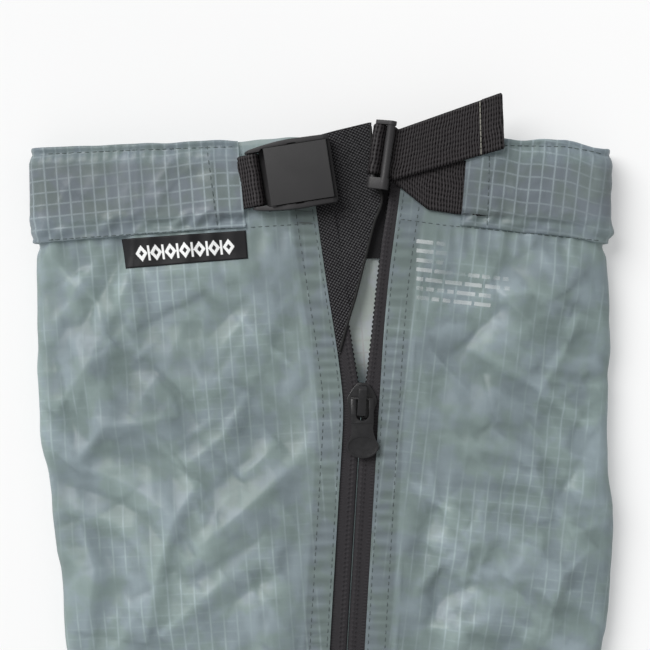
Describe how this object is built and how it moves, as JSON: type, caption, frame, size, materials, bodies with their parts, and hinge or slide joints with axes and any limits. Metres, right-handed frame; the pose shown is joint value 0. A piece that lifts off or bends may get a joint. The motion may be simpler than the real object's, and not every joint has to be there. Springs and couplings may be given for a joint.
{
  "type": "hiking gaiter",
  "caption": "Zip-front hiking gaiter lying flat, with a strapped cuff, cam buckle, adjuster ring, lace hook and instep eyelets.",
  "frame": {"origin": "middle of the face that the flat gaiter lies on, under the centre of its bounding box", "axes": "+Z out of the front, the side with the zip; +Y up the leg towards the cuff; +X to the right when the front is seen from above with the cuff away"},
  "size_m": [0.2387, 0.456, 0.0284],
  "materials": {
    "shell_fabric": "translucent coated ripstop",
    "band_fabric": "doubled coated ripstop",
    "webbing": "ribbed nylon webbing",
    "gusset_fabric": "Oxford weave",
    "zip_tape": "woven tape",
    "zip_coil": "nylon monofilament",
    "slider_metal": "satin black",
    "spring_steel": "bright",
    "buckle_plastic": "fine texture",
    "label_fabric": "damask weave",
    "elastic": "braided elastic",
    "hook_metal": "satin",
    "eyelet_metal": "gunmetal plated"
  },
  "bodies": {
    "gaiter": {"left_shell": "shell_fabric", "right_shell": "shell_fabric", "back_seam_tape": "shell_fabric", "cuff_band": "band_fabric", "hem_band": "band_fabric", "hem_elastic": "elastic", "cuff_strap": "webbing", "buckle_loop": "webbing", "strap_tail": "webbing", "storm_gusset": "gusset_fabric", "left_zip_tape": "zip_tape", "right_zip_tape": "zip_tape", "left_zip_coil": "zip_coil", "right_zip_coil": "zip_coil", "zip_top_stops": "zip_coil", "zip_bottom_stop": "zip_coil", "woven_label": "label_fabric", "hook_tab": "webbing", "left_instep_tab": "webbing", "right_instep_tab": "webbing", "left_eyelet": "eyelet_metal", "right_eyelet": "eyelet_metal"},
    "slider": {"slider_body": "slider_metal", "slider_cap": "slider_metal", "slider_lock_spring": "spring_steel"},
    "pull": {"pull_tab": "slider_metal"},
    "buckle": {"buckle_frame": "buckle_plastic"},
    "lever": {"buckle_lever": "buckle_plastic"},
    "ring": {"adjuster_ring": "buckle_plastic"},
    "hook": {"lace_hook": "hook_metal"}
  },
  "joints": [
    {"name": "zip_slide", "type": "slide", "parent": "gaiter", "child": "slider", "axis": [-0.0591, -0.9983, 0], "range_m": [0, 0.276], "deforming": ["left_zip_coil", "right_zip_coil"]},
    {"name": "pull_flip", "type": "hinge", "parent": "slider", "child": "pull", "pos_m": [0.01522, 0.1063, 0.0212], "axis": [-0.9983, 0.0591, 0], "range_deg": [0, 165]},
    {"name": "buckle_swing", "type": "hinge", "parent": "gaiter", "child": "buckle", "pos_m": [-0.02729, 0.19332, 0.0229], "axis": [0.153, -0.9882, 0], "range_deg": [0, 75]},
    {"name": "lever_open", "type": "hinge", "parent": "buckle", "child": "lever", "pos_m": [-0.01929, 0.19456, 0.0252], "axis": [0.153, -0.9882, 0], "range_deg": [0, 95]},
    {"name": "adjuster_tilt", "type": "hinge", "parent": "gaiter", "child": "ring", "pos_m": [0.02054, 0.20373, 0.0232], "axis": [-0.1374, -0.9905, 0], "range_deg": [0, 60]},
    {"name": "hook_swing", "type": "hinge", "parent": "gaiter", "child": "hook", "pos_m": [-0.00387, -0.21598, 0.0207], "axis": [-0.9983, 0.0591, 0], "range_deg": [0, 100]}
  ]
}
